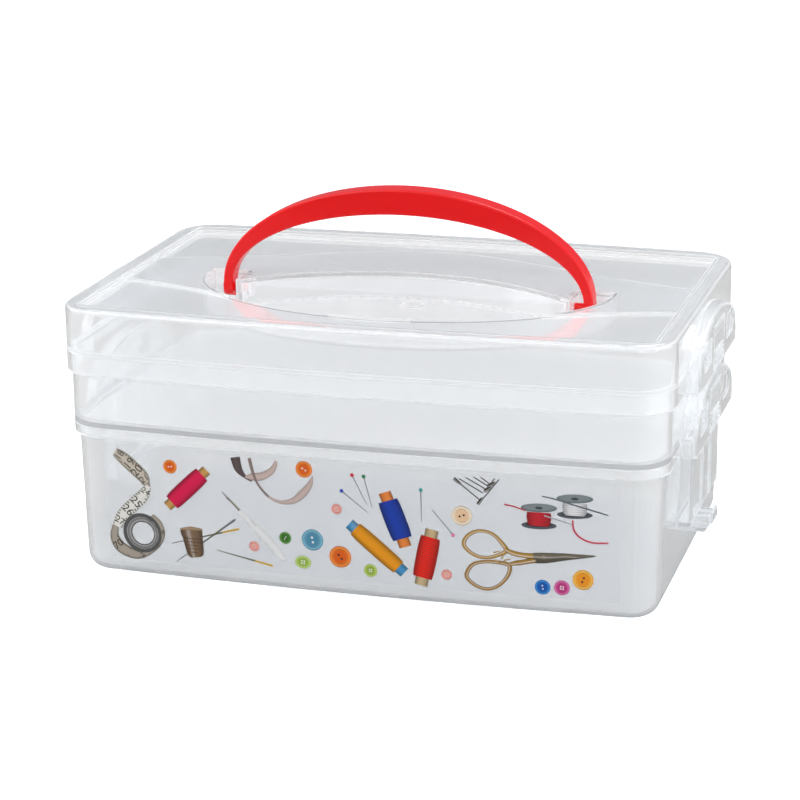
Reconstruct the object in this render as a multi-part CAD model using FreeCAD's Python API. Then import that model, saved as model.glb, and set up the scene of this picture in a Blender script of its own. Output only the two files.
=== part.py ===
import FreeCAD, Part
import math
import os

from FreeCAD import Vector

# Stackable sewing box: a deep base, a middle tray and a lid with a folding carry handle.
# Millimetres. X runs along the long side, Y from the front to the back, Z up.
# The origin is the centre of the underside. The long sides bow outwards a little.

# ---- driving dimensions -------------------------------------------------------------
length = 290.0            # over the lid, without the end hoods
depth = 190.0             # over the lid at the middle of the bowed sides
side_bow = 4.5            # how far the long sides bow out
corner_radius = 20.0      # plan radius of the lid's corners
base_height = 73.0        # floor to the base's rim
tray_rise = 35.5          # base rim to tray rim
lid_rise = 22.5           # tray rim to the lid's top
lid_wall = 1.6
tray_wall = 1.6
base_wall = 1.8
nest_gap = 0.6            # side clearance between nested tiers
seat_gap = 0.3            # height clearance where one tier stands on the next
lid_skirt = 9.7           # how far the lid reaches down over the tray
tray_skirt = 4.5          # how far the tray reaches down over the base
base_draft = 1.8          # how much narrower the base is at its foot, each side
foot_radius = 8.0         # rounding under the base
floor_radius = 4.0        # rounding inside the tray's floor

# lid top
border_width = 9.3        # raised border round the lid
border_step = 3.0         # border above the panel
border_corner = 4.0
band_step = 1.0           # waved band above the panel
band_half_middle = 65.0   # half width of the band at the middle of the lid
band_half_end = 20.0      # and at the lid's ends
band_waist_at = 0.62      # where it narrows, as a share of the half length,
band_waist = 0.55         # and how far, as a share of its middle width
top_edge_radius = 2.5
rim_radius = 0.6          # rounding of rims and lips
well_half = 100.0         # handle well: half length,
well_front = 64.0         # reach towards the front,
well_depth = 12.5         # and depth below the panel
well_back = 6.5           # back edge of the pockets behind the pivot
pocket_inner = 82.5       # pivot wall of each pocket, from the middle
well_radius = 1.5         # rounding of the well's floor
lens_back = 21.0          # back of the finger recess
lens_tip = -13.0          # where the recess meets the pivot walls
gate_radius = 6.0         # round gate mark in the well
gate_back = 10.0
gate_rise = 0.8
seat_rib = 2.0            # rib inside the lid that stands on the tray
seat_rib_height = 1.2

# handle
handle_half = 92.0        # outer half span
handle_height = 51.0      # outer rise above the springing
handle_leg = 4.6          # thickness of the legs
handle_crown = 12.4       # thickness at the top
handle_width = 12.4       # front to back at the top
handle_foot_width = 9.0   # front to back at the feet
handle_edge = 1.0         # rounding along the strap
handle_wall = 2.1         # wall of the inverted U section
handle_ribs = 7
rib_thickness = 1.4
groove_reach = 0.8        # ends of the strap's groove, as a share of the half span,
groove_start = 0.3        # and its lower ends, as a share of the handle's height
rib_reach = 0.75          # half the run the ribs divide evenly, as a share of the half span
pivot_above_floor = 6.8   # pivot axis above the well's floor
springing_above_pivot = 2.5
pin_radius = 2.3
pin_clearance = 0.05
pin_reach = 5.5           # pin length from the leg's inner face
pin_boss = 2.2            # extra bearing length behind the pivot wall
boss_wall = 2.0           # material round the pin

# end hoods, snap tongues and catches
hood_half = 51.0
hood_height = 28.2
hood_spring = 4.2         # straight foot of the arch
hood_shoulder = 16.0      # radius of its shoulders
hood_out = 6.5            # how far the lid's hoods stand out of its ends
tray_hood_short = 1.0     # the tray's hoods reach this much less than the lid's
hood_edge = 2.0
window_inner = 21.0       # side windows beside the tongue
window_outer = 40.0
window_low = 7.0
window_high = 19.0
window_radius = 2.5
tongue_half = 14.0
tongue_gap = 0.5
tongue_wall = 1.6
tongue_pivot = 19.5       # pivot height above the skirt's edge
tongue_foot = 1.7
tongue_axis_gap = 0.3     # pivot axis behind the back of the hood's face
tongue_lead = 1.6         # height of the slope outside its foot,
tongue_lead_in = 1.0      # and its width
hook_nose = 1.1           # height of the slope under the hook
grip_first = 5.0          # height of the lowest of the grip ridges,
grip_pitch = 2.0
grip_count = 3
grip_height = 0.8
grip_out = 0.5
grip_share = 0.7          # their length, as a share of the tongue's
tongue_pin = 1.2
tongue_pin_length = 2.4
tongue_ear = 3.2          # thickness of the ears that hold the pins
pin_end_gap = 0.3
catch_height = 5.1        # underside of the catch above the skirt's edge
catch_thickness = 3.2
catch_half = 9.0
catch_bite = 1.2          # how far tongue and catch overlap
catch_ramp = 2.3          # height of the sloped face over that bite
catch_gap = 0.35
catch_face_gap = 0.9      # catch end to the hood's inner face

# base ends and front
panel_half = 36.0
panel_out = 5.9           # raised end panel, from the base's wall at the rim
panel_low = 30.0
panel_rib = 11.0          # the panel's two ribs, from the middle
panel_rib_half = 0.6
panel_rib_out = 0.7
tab_gap = 0.4
tab_over = 0.6            # tab's top above the catch
lug_half = 7.0
lug_low = 18.0
lug_height = 9.0
lug_out = 11.0
lug_rib = 1.4
lug_ledge = 1.6           # thickness of the ledge,
lug_ledge_drop = 1.4      # and its upper face below the lug's top
lug_lip_up = 0.6          # lip above the lug's top,
lug_lip_down = 4.5        # and below it
lug_toe = 3.5             # ribs' feet short of the lug's end
lug_nose = 4.0            # ribs' front corners below the lug's top
film_half = 124.0
film_low = 9.0
film_high = 67.0
film_thickness = 0.15

# ---- derived ------------------------------------------------------------------------
tray_rim = base_height + tray_rise
height = tray_rim + lid_rise
lid_edge = tray_rim - lid_skirt
tray_edge = base_height - tray_skirt
tray_inset = lid_wall + nest_gap
base_inset = tray_inset + tray_wall + nest_gap
tray_floor = base_height + seat_gap
panel_top = height - border_step
well_floor = panel_top - well_depth
pivot_z = well_floor + pivot_above_floor
springing = pivot_z + springing_above_pivot
lid_hood_x = length / 2 + hood_out
tray_hood_x = lid_hood_x - tray_hood_short
bow_radius = ((length / 2) ** 2 + side_bow ** 2) / (2 * side_bow)
EPS = 1.0                 # how far a cutting tool runs past what it cuts
OVERLAP = 0.2             # how far joined shapes run into each other


def outline(inset, z, corner=None):
    """Closed plan outline: straight ends, bowed long sides and round corners."""
    big = bow_radius - inset
    small = corner_radius - inset if corner is None else corner
    centre = depth / 2 - bow_radius
    cx = length / 2 - inset - small
    cy = centre + math.sqrt((big - small) ** 2 - cx ** 2)
    reach = math.hypot(cx, cy - centre)
    tx = cx * big / reach
    ty = centre + (cy - centre) * big / reach
    half = math.atan2(cx, cy - centre) / 2 + math.pi / 4
    mx = cx + small * math.sin(half)
    my = cy + small * math.cos(half)
    ex = cx + small
    edges = [
        Part.Arc(Vector(-tx, ty, z), Vector(0, depth / 2 - inset, z), Vector(tx, ty, z)).toShape(),
        Part.Arc(Vector(tx, ty, z), Vector(mx, my, z), Vector(ex, cy, z)).toShape(),
        Part.makeLine(Vector(ex, cy, z), Vector(ex, -cy, z)),
        Part.Arc(Vector(ex, -cy, z), Vector(mx, -my, z), Vector(tx, -ty, z)).toShape(),
        Part.Arc(Vector(tx, -ty, z), Vector(0, inset - depth / 2, z), Vector(-tx, -ty, z)).toShape(),
        Part.Arc(Vector(-tx, -ty, z), Vector(-mx, -my, z), Vector(-ex, -cy, z)).toShape(),
        Part.makeLine(Vector(-ex, -cy, z), Vector(-ex, cy, z)),
        Part.Arc(Vector(-ex, cy, z), Vector(-mx, my, z), Vector(-tx, ty, z)).toShape(),
    ]
    return Part.Wire(edges)


def slab(inset, low, high, corner=None):
    """The plan outline as a straight-sided solid between two heights."""
    return Part.Face(outline(inset, low, corner)).extrude(Vector(0, 0, high - low))


def block(x0, x1, y0, y1, z0, z1):
    return Part.makeBox(x1 - x0, y1 - y0, z1 - z0, Vector(x0, y0, z0))


def round_edges(shape, radius, z):
    """Round every edge that lies flat at one height."""
    flat = [e for e in shape.Edges if all(abs(v.Z - z) < 1e-6 for v in e.Vertexes)]
    return shape.makeFillet(radius, flat)


def round_rims(shape, radius, z):
    """Round the long edges that lie flat at one height, and leave short ones."""
    flat = [e for e in shape.Edges
            if all(abs(v.Z - z) < 1e-6 for v in e.Vertexes) and e.Length > 2 * radius]
    return shape.makeFillet(radius, flat)


def fuse(*shapes):
    return shapes[0].multiFuse(list(shapes[1:])).removeSplitter()


def mirrored(shape):
    """The same shape at the other end of the box."""
    return shape.mirror(Vector(0, 0, 0), Vector(1, 0, 0))


def both_ends(shape):
    return [shape, mirrored(shape)]


def profile_xz(points, half):
    """A closed XZ polygon as a solid, centred on Y."""
    corners = [Vector(x, -half, z) for x, z in points]
    return Part.Face(Part.makePolygon(corners + corners[:1])).extrude(Vector(0, 2 * half, 0))


# ---- end hoods ----------------------------------------------------------------------
def arch(x0, x1, low, edge, trim):
    """Prism of a hood's three-centred arch between two X planes; trim shrinks its outline."""
    side = hood_half - hood_shoulder
    rise = hood_height - hood_spring
    crown = (side ** 2 + rise ** 2 - hood_shoulder ** 2) / (2 * (rise - hood_shoulder))
    middle = hood_height - crown
    lean = math.atan2(side, hood_spring - middle)
    half = hood_half - trim
    shoulder = hood_shoulder - trim

    def at(y, z):
        return Vector(x0, y, edge + z)

    def on_shoulder(way, turn):
        return at(way * (side + shoulder * math.sin(turn)), hood_spring + shoulder * math.cos(turn))

    bend = (lean + math.pi / 2) / 2
    edges = [
        Part.makeLine(at(half, low), at(half, hood_spring)),
        Part.Arc(at(half, hood_spring), on_shoulder(1, bend), on_shoulder(1, lean)).toShape(),
        Part.Arc(on_shoulder(1, lean), at(0, hood_height - trim), on_shoulder(-1, lean)).toShape(),
        Part.Arc(on_shoulder(-1, lean), on_shoulder(-1, bend), at(-half, hood_spring)).toShape(),
        Part.makeLine(at(-half, hood_spring), at(-half, low)),
        Part.makeLine(at(-half, low), at(half, low)),
    ]
    return Part.Face(Part.Wire(edges)).extrude(Vector(x1 - x0, 0, 0))


def tongue_axis_x(hood_x, wall):
    return hood_x - wall - tongue_axis_gap


def hood_skin(wall_x, hood_x, edge):
    """Outside of a hood, with its outer rim rounded."""
    solid = arch(wall_x - EPS, hood_x, 0, edge, 0)
    rim = [e for e in solid.Edges
           if all(abs(v.X - hood_x) < 1e-6 for v in e.Vertexes)
           and any(v.Z > edge + EPS for v in e.Vertexes)]
    return solid.makeFillet(hood_edge, rim)


def hood_openings(hood_x, edge, wall):
    """The tongue's opening and the two side windows in the hood's face."""
    cut = block(hood_x - wall - EPS, hood_x + EPS,
                -tongue_half - tongue_gap, tongue_half + tongue_gap,
                edge + tongue_foot - tongue_gap, edge + tongue_pivot + tongue_wall + 2 * tongue_gap)
    windows = []
    for side in (-1, 1):
        y0, y1 = sorted((side * window_inner, side * window_outer))
        pane = block(hood_x - wall - EPS, hood_x + EPS, y0, y1, edge + window_low, edge + window_high)
        along_x = [e for e in pane.Edges if abs(e.Vertexes[0].X - e.Vertexes[1].X) > EPS]
        windows.append(pane.makeFillet(window_radius, along_x))
    return [cut] + windows


def hood_ears(hood_x, edge, wall):
    """Two ears behind the hood's face that carry the tongue's pivot pins."""
    x = tongue_axis_x(hood_x, wall)
    z = edge + tongue_pivot
    inner = tongue_half + tongue_gap
    ears = []
    for side in (-1, 1):
        y0, y1 = sorted((side * inner, side * (inner + tongue_ear)))
        ears.append(block(x - tongue_ear, hood_x - wall + OVERLAP, y0, y1, z - tongue_ear, z + tongue_ear))
    return ears


def tongue_bore(hood_x, edge, wall):
    """Blind bore for the tongue's pins, through both ears and into the back of the hood's face."""
    half = tongue_half + tongue_gap + tongue_pin_length + pin_end_gap
    start = Vector(tongue_axis_x(hood_x, wall), -half, edge + tongue_pivot)
    return Part.makeCylinder(tongue_pin + pin_clearance, 2 * half, start, Vector(0, 1, 0))


def tongue(hood_x, edge, wall):
    """Snap tongue: a plate on a pivot barrel, with a ramped hook at its foot."""
    x = tongue_axis_x(hood_x, wall)
    z = edge + tongue_pivot
    inner = hood_x - tongue_wall
    tip = inner - catch_face_gap - catch_bite
    slope = catch_ramp / catch_bite
    hook_top = edge + catch_height - catch_gap * slope
    points = [
        (hood_x, z),
        (hood_x, edge + tongue_foot + tongue_lead),
        (hood_x - tongue_lead_in, edge + tongue_foot),
        (inner, edge + tongue_foot),
        (tip, edge + tongue_foot + hook_nose),
        (tip, hook_top),
        (inner, hook_top + (inner - tip) * slope),
        (inner, z),
    ]
    barrel = Part.makeCylinder(hood_x - x, 2 * tongue_half, Vector(x, -tongue_half, z), Vector(0, 1, 0))
    pin_half = tongue_half + tongue_gap + tongue_pin_length
    pin = Part.makeCylinder(tongue_pin, 2 * pin_half, Vector(x, -pin_half, z), Vector(0, 1, 0))
    body = fuse(profile_xz(points, tongue_half), barrel, pin)
    grip_half = grip_share * tongue_half
    grips = []
    for i in range(grip_count):
        level = edge + grip_first + i * grip_pitch
        grips.append(block(hood_x - OVERLAP, hood_x + grip_out, -grip_half, grip_half,
                           level, level + grip_height))
    return fuse(body, *grips)


def catch(hood_x, from_x, edge):
    """Catch ledge under which a tongue's hook sits, with a ramped underside at its end."""
    end = hood_x - tongue_wall - catch_face_gap
    low = edge + catch_height
    points = [
        (from_x, low),
        (end - catch_bite, low),
        (end, low + catch_ramp),
        (end, low + catch_thickness),
        (from_x, low + catch_thickness),
    ]
    return profile_xz(points, catch_half)


# ---- base ---------------------------------------------------------------------------
def base_taper(inset, low):
    """The base's tapered body from a given height up to its rim."""
    drop = base_draft * (base_height - low) / base_height
    wires = [outline(inset + drop, low), outline(inset, base_height)]
    return Part.makeLoft(wires, True, True)


def base_box():
    shell = round_edges(base_taper(base_inset, 0), foot_radius, 0)
    hollow = round_edges(base_taper(base_inset + base_wall, base_wall), foot_radius - base_wall, base_wall)
    wall_x = length / 2 - base_inset
    panel_x = wall_x + panel_out
    tab_x = length / 2 - tray_inset + tab_gap
    tab_top = tray_edge + catch_height + catch_thickness + tab_over
    deep = wall_x - base_wall - base_draft
    added = []
    panel = block(deep + EPS, panel_x, -panel_half, panel_half, panel_low, base_height)
    upright = [e for e in panel.Edges
               if all(abs(v.X - panel_x) < 1e-6 for v in e.Vertexes)
               and any(v.Z < base_height for v in e.Vertexes)]
    added += both_ends(panel.makeFillet(hood_edge, upright))
    tab = block(tab_x, panel_x, -panel_half + hood_edge, panel_half - hood_edge,
                base_height - EPS, tab_top)
    added += both_ends(tab)
    for side in (-1, 1):
        middle = side * panel_rib
        rib = block(panel_x - OVERLAP, panel_x + panel_rib_out, middle - panel_rib_half,
                    middle + panel_rib_half, panel_low + hood_edge, base_height - 2 * catch_height)
        added += both_ends(rib)
    added += both_ends(catch(tray_hood_x, panel_x - OVERLAP, tray_edge))
    recess = block(deep - EPS, panel_x - base_wall, -panel_half + base_wall, panel_half - base_wall,
                   panel_low + base_wall, base_height - base_wall)
    added += end_lugs(wall_x)
    body = fuse(round_rims(shell.cut(hollow), rim_radius, base_height), *added)
    for tool in both_ends(recess):
        body = body.cut(tool)
    return body.removeSplitter()


def end_lugs(wall_x):
    """Ribbed lug low on each end: a ledge on three ribs with an upturned lip."""
    root = wall_x - base_draft - base_wall / 2
    end = wall_x + lug_out
    top = lug_low + lug_height
    shelf = top - lug_ledge_drop
    ledge = block(root, end, -lug_half, lug_half, shelf - lug_ledge, shelf)
    lip = block(end - lug_rib, end, -lug_half, lug_half, top - lug_lip_down, top + lug_lip_up)
    ribs = []
    for y in (-lug_half, -lug_rib / 2, lug_half - lug_rib):
        corners = [(root, lug_low), (end - lug_toe, lug_low), (end - lug_rib / 2, top - lug_nose),
                   (end - lug_rib / 2, shelf - lug_ledge / 2), (root, shelf - lug_ledge / 2)]
        ribs.append(profile_xz(corners, lug_rib / 2).translated(Vector(0, y + lug_rib / 2, 0)))
    return both_ends(fuse(ledge, lip, *ribs))


def front_print_film():
    """Thin printed film on the front wall of the base."""
    band = block(-film_half, film_half, -depth, 0, film_low, film_high)
    skin = base_taper(base_inset - film_thickness, 0).cut(base_taper(base_inset, 0))
    return skin.common(band)


# ---- tray ---------------------------------------------------------------------------
def middle_tray():
    wall_x = length / 2 - tray_inset
    shell = slab(tray_inset, tray_edge, tray_rim)
    inside = tray_inset + tray_wall
    hollow = round_edges(slab(inside, tray_floor + tray_wall, tray_rim + EPS),
                         floor_radius, tray_floor + tray_wall)
    body = shell.cut(hollow).cut(slab(inside, tray_edge - EPS, tray_floor))
    body = round_rims(round_rims(body, rim_radius, tray_rim), rim_radius, tray_edge)
    body = fuse(body, *both_ends(hood_skin(wall_x, tray_hood_x, tray_edge)))
    cavity = arch(wall_x, tray_hood_x - tray_wall, -EPS, tray_edge, tray_wall)
    gate = block(wall_x - tray_wall - EPS, wall_x + EPS, -hood_half + tray_wall, hood_half - tray_wall,
                 tray_edge - EPS, tray_floor)
    for tool in [cavity, gate] + hood_openings(tray_hood_x, tray_edge, tray_wall):
        for end in both_ends(tool):
            body = body.cut(end)
    added = both_ends(catch(lid_hood_x, wall_x - tray_wall / 2, lid_edge))
    for ear in hood_ears(tray_hood_x, tray_edge, tray_wall):
        added += both_ends(ear)
    body = fuse(body, *added)
    for bore in both_ends(tongue_bore(tray_hood_x, tray_edge, tray_wall)):
        body = body.cut(bore)
    return body


# ---- lid ----------------------------------------------------------------------------
def well(grow, low, high):
    """Handle well: a half-ellipse front, two foot pockets and a lens-shaped finger recess."""
    z = low
    a = well_half + grow
    b = well_front + grow
    back = well_back + grow
    inner = pocket_inner - grow
    lens_radius = (pocket_inner ** 2 + (lens_back - lens_tip) ** 2) / (2 * (lens_back - lens_tip))
    centre = lens_back - lens_radius
    tip = centre + math.sqrt((lens_radius + grow) ** 2 - inner ** 2)
    front = Part.ArcOfEllipse(Part.Ellipse(Vector(0, 0, z), a, b), math.pi, 2 * math.pi)
    edges = [
        Part.makeLine(Vector(a, 0, z), Vector(a, back, z)),
        Part.makeLine(Vector(a, back, z), Vector(inner, back, z)),
        Part.makeLine(Vector(inner, back, z), Vector(inner, tip, z)),
        Part.Arc(Vector(inner, tip, z), Vector(0, lens_back + grow, z), Vector(-inner, tip, z)).toShape(),
        Part.makeLine(Vector(-inner, tip, z), Vector(-inner, back, z)),
        Part.makeLine(Vector(-inner, back, z), Vector(-a, back, z)),
        Part.makeLine(Vector(-a, back, z), Vector(-a, 0, z)),
        front.toShape(),
    ]
    return Part.Face(Part.Wire(edges)).extrude(Vector(0, 0, high - low))


def band(low, high):
    """Waved band across the lid: wide in the middle, narrow at its ends."""
    reach = length / 2
    z = low
    quarter = band_waist_at * reach
    level = band_waist * band_half_middle

    def wave(side):
        pts = [Vector(-reach, side * band_half_end, z), Vector(-quarter, side * level, z),
               Vector(0, side * band_half_middle, z), Vector(quarter, side * level, z),
               Vector(reach, side * band_half_end, z)]
        curve = Part.BSplineCurve()
        curve.interpolate(pts)
        return curve.toShape()

    ends = [Part.makeLine(Vector(x, -band_half_end, z), Vector(x, band_half_end, z)) for x in (-reach, reach)]
    face = Part.Face(Part.Wire(Part.__sortEdges__([wave(1), wave(-1)] + ends)))
    return face.extrude(Vector(0, 0, high - low))


def lid():
    wall_x = length / 2
    under_panel = panel_top - lid_wall
    shell = round_edges(slab(0, lid_edge, height), top_edge_radius, height)
    step = slab(border_width, panel_top, height + EPS, border_corner)
    step = step.cut(band(panel_top - EPS, panel_top + band_step))
    hollow = slab(lid_wall, lid_edge - EPS, height - lid_wall)
    land = slab(border_width - lid_wall, under_panel, height, border_corner + lid_wall)
    body = round_rims(shell.cut(step), rim_radius, height).cut(hollow.cut(land))
    body = round_rims(body, rim_radius, lid_edge)
    rib = slab(lid_wall / 2, tray_rim + seat_gap, tray_rim + seat_gap + seat_rib_height)
    rib = rib.cut(slab(lid_wall + seat_rib, tray_rim, tray_rim + lid_rise))
    skin = round_edges(well(lid_wall, well_floor - lid_wall, panel_top - lid_wall / 2),
                       well_radius + lid_wall, well_floor - lid_wall)
    body = fuse(body, rib, skin, *both_ends(hood_skin(wall_x, lid_hood_x, lid_edge)))
    body = body.cut(round_edges(well(0, well_floor, height + EPS), well_radius, well_floor))
    cavity = arch(wall_x, lid_hood_x - lid_wall, -EPS, lid_edge, lid_wall)
    gate = block(wall_x - lid_wall - EPS, wall_x + EPS, -hood_half + lid_wall, hood_half - lid_wall,
                 lid_edge - EPS, tray_rim + seat_gap)
    for tool in [cavity, gate] + hood_openings(lid_hood_x, lid_edge, lid_wall):
        for end in both_ends(tool):
            body = body.cut(end)
    added = []
    for ear in hood_ears(lid_hood_x, lid_edge, lid_wall):
        added += both_ends(ear)
    boss = Part.makeCylinder(pin_radius + boss_wall, lid_wall + pin_boss,
                             Vector(pocket_inner - lid_wall - pin_boss, 0, pivot_z), Vector(1, 0, 0))
    added += both_ends(boss)
    mark = Part.makeCone(gate_radius, gate_radius - gate_rise, gate_rise, Vector(0, gate_back, well_floor))
    body = fuse(body, mark, *added)
    bore = Part.makeCylinder(pin_radius + pin_clearance, lid_wall + pin_boss + 2 * EPS,
                             Vector(pocket_inner - lid_wall - pin_boss - EPS, 0, pivot_z), Vector(1, 0, 0))
    for end in both_ends(bore) + both_ends(tongue_bore(lid_hood_x, lid_edge, lid_wall)):
        body = body.cut(end)
    return body


# ---- handle -------------------------------------------------------------------------
def half_disc(a, b, half_width):
    """Upper half of an ellipse in the XZ plane, as a solid."""
    arc = Part.ArcOfEllipse(Part.Ellipse(Vector(0, 0, 0), a, b), 0, math.pi).toShape()
    face = Part.Face(Part.Wire([arc, Part.makeLine(Vector(-a, 0, 0), Vector(a, 0, 0))]))
    solid = face.extrude(Vector(0, 0, 2 * half_width))
    solid.rotate(Vector(0, 0, 0), Vector(1, 0, 0), 90)
    solid.translate(Vector(0, half_width, springing))
    return solid


def carry_handle():
    half = handle_width / 2
    foot = handle_foot_width / 2
    inner_a = handle_half - handle_leg
    inner_b = handle_height - handle_crown
    arch_solid = half_disc(handle_half, handle_height, half).cut(half_disc(inner_a, inner_b, half + EPS))
    top = springing + handle_height
    taper = [(-foot, springing), (-half, top), (half, top), (foot, springing)]
    corners = [Vector(-handle_half - EPS, y, z) for y, z in taper]
    keep = Part.Face(Part.makePolygon(corners + corners[:1])).extrude(Vector(2 * (handle_half + EPS), 0, 0))
    strap = arch_solid.common(keep)
    rims = [e for e in strap.Edges if e.Length > handle_half]
    strap = strap.makeFillet(handle_edge, rims)
    groove = half_disc(handle_half - handle_wall, handle_height - handle_wall, half - handle_wall)
    reach = groove_reach * handle_half
    groove = groove.common(block(-reach, reach, -half, half, springing + groove_start * handle_height, top))
    pitch = 2 * rib_reach * handle_half / (handle_ribs + 1)
    for i in range(handle_ribs):
        x = (i - (handle_ribs - 1) / 2) * pitch
        groove = groove.cut(block(x - rib_thickness / 2, x + rib_thickness / 2, -half, half, 0, top))
    strap = strap.cut(groove)
    leg = block(inner_a, handle_half, -foot, foot, pivot_z, springing)
    toe = Part.makeCylinder(foot, handle_leg, Vector(inner_a, 0, pivot_z), Vector(1, 0, 0))
    pin = Part.makeCylinder(pin_radius, pin_reach + EPS,
                            Vector(inner_a - pin_reach, 0, pivot_z), Vector(1, 0, 0))
    return fuse(strap, *both_ends(fuse(leg, toe, pin)))


# ---- write --------------------------------------------------------------------------
lid_tongue = tongue(lid_hood_x, lid_edge, lid_wall)
tray_tongue = tongue(tray_hood_x, tray_edge, tray_wall)
nodes = {
    "base_box": base_box(),
    "front_print_film": front_print_film(),
    "middle_tray": middle_tray(),
    "lid": lid(),
    "carry_handle": carry_handle(),
    "lid_clip_right": lid_tongue,
    "lid_clip_left": mirrored(lid_tongue),
    "tray_clip_right": tray_tongue,
    "tray_clip_left": mirrored(tray_tongue),
}
os.makedirs("parts", exist_ok=True)
for name, shape in nodes.items():
    solids = len(shape.Solids)
    box = shape.BoundBox
    print(f"{name}: {solids} solid, valid {shape.isValid()}, {shape.Volume / 1000:.1f} cm3, "
          f"z {box.ZMin:.1f} to {box.ZMax:.1f}, x to {box.XMax:.1f}, y {box.YMin:.1f} to {box.YMax:.1f}")
    shape.exportStep(f"parts/{name}.step")
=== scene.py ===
# %% [markdown]
# A stackable sewing box in clear plastic: a deep base with a picture printed on its front, a
# shallow middle tray, and a lid with a red carry handle. The moulded shells, the handle and
# the snap tongues come ready from the engineering model, which is loaded first and never
# changed. This script gives them their plastics and draws the picture on the front.

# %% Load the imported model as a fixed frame
import math

import bmesh
import bpy
from mathutils import Matrix, Vector
from mathutils.bvhtree import BVHTree


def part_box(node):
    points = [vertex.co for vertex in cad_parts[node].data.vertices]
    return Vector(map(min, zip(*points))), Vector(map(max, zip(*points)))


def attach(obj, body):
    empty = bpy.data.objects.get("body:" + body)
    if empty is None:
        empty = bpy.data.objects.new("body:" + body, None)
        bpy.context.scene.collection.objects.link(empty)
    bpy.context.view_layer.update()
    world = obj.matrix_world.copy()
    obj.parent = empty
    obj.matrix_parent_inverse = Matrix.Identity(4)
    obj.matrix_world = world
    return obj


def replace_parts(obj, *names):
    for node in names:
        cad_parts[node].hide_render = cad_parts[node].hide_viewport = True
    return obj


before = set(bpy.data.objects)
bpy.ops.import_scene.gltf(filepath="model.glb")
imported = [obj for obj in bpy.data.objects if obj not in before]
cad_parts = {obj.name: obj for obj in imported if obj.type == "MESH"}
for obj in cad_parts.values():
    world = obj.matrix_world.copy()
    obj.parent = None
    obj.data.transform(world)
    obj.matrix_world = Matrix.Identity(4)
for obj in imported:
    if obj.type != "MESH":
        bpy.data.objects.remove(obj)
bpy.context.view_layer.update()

scene = bpy.context.scene
MM = 0.001

# %% [markdown]
# The camera stands a little to the right of the front and looks slightly down, as a person
# across a table would. A long lens keeps the box's upright edges nearly parallel. The view is
# built from three directions, right, up and back, because a small turn about the line of
# sight is then one step, where three angles in a row would have to be guessed together.

# %% Camera
AROUND = math.radians(16.28)
ABOVE = math.radians(16.84)
ROLL = math.radians(-0.58)
CAMERA_AT = Vector((0.33411, -1.15794, 0.43529))
FOCAL_LENGTH = 116.43
right = Vector((math.cos(AROUND), math.sin(AROUND), 0))
back = Vector((math.sin(AROUND) * math.cos(ABOVE), -math.cos(AROUND) * math.cos(ABOVE), math.sin(ABOVE)))
up = back.cross(right)
rolled_right = right * math.cos(ROLL) + up * math.sin(ROLL)
rolled_up = up * math.cos(ROLL) - right * math.sin(ROLL)
lens = bpy.data.cameras.new("camera")
lens.sensor_width = 36
lens.lens = FOCAL_LENGTH
camera = bpy.data.objects.new("camera", lens)
turned = Matrix((rolled_right, rolled_up, back)).transposed().to_4x4()
camera.matrix_world = Matrix.Translation(CAMERA_AT) @ turned
scene.collection.objects.link(camera)
scene.camera = camera
print("lens", round(lens.lens), "mm, at", [round(c, 2) for c in CAMERA_AT])

# %% [markdown]
# Every surface gets its look from a small net of nodes, because a single flat colour looks
# like nothing real. Nets are long to write out, so three helpers do it: one starts a
# material, one adds a node with its settings, and one mixes two colours.

# %% Helpers for node materials
def new_material(name):
    made = bpy.data.materials.new(name)
    made.use_nodes = True
    return made, made.node_tree, made.node_tree.nodes["Principled BSDF"]


def add_node(tree, kind, **settings):
    """A new node, with its plain settings and, by name, its unlinked inputs."""
    node = tree.nodes.new(kind)
    for key, value in settings.items():
        if key in node.inputs:
            node.inputs[key].default_value = value
        else:
            setattr(node, key, value)
    return node


def colour_mix(tree, factor, first, second, blend_type="MIX"):
    """Mix two colours, each a plain colour or a socket, by a number or a socket."""
    node = add_node(tree, "ShaderNodeMix", data_type="RGBA", blend_type=blend_type)
    pairs = ((node.inputs["Factor"], factor), (node.inputs["A"], first), (node.inputs["B"], second))
    for socket, value in pairs:
        if isinstance(value, bpy.types.NodeSocket):
            tree.links.new(value, socket)
        else:
            socket.default_value = value
    return node.outputs["Result"]


# %% [markdown]
# Clear plastic has almost no colour of its own and shows what is around it. In an all-white
# room it would vanish, and in a grey one its edges would be dark. A studio solves this with a
# dark wall behind the object and white ones all round, and so does this room. What is seen
# through the box is a darker wall and floor, what its edges catch from the sides is white,
# and what lights its milky surfaces is a pale even glow. Only the view straight into the
# camera shows the background white.

# %% Room
ROOM_SEEN_THROUGH = (0.19, 0.215, 0.25, 1)
ROOM_SIDES = (1.12, 1.13, 1.15, 1)
ROOM_AS_LIGHT = (0.80, 0.81, 0.82, 1)
ROOM_SEEN_DIRECT = (1.0, 1.0, 1.0, 1)
BACK_WALL_WAY = (-0.2, 0.94, 0.28)
BACK_WALL_STARTS = 0.45
BACK_WALL_FULL = 0.85

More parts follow.
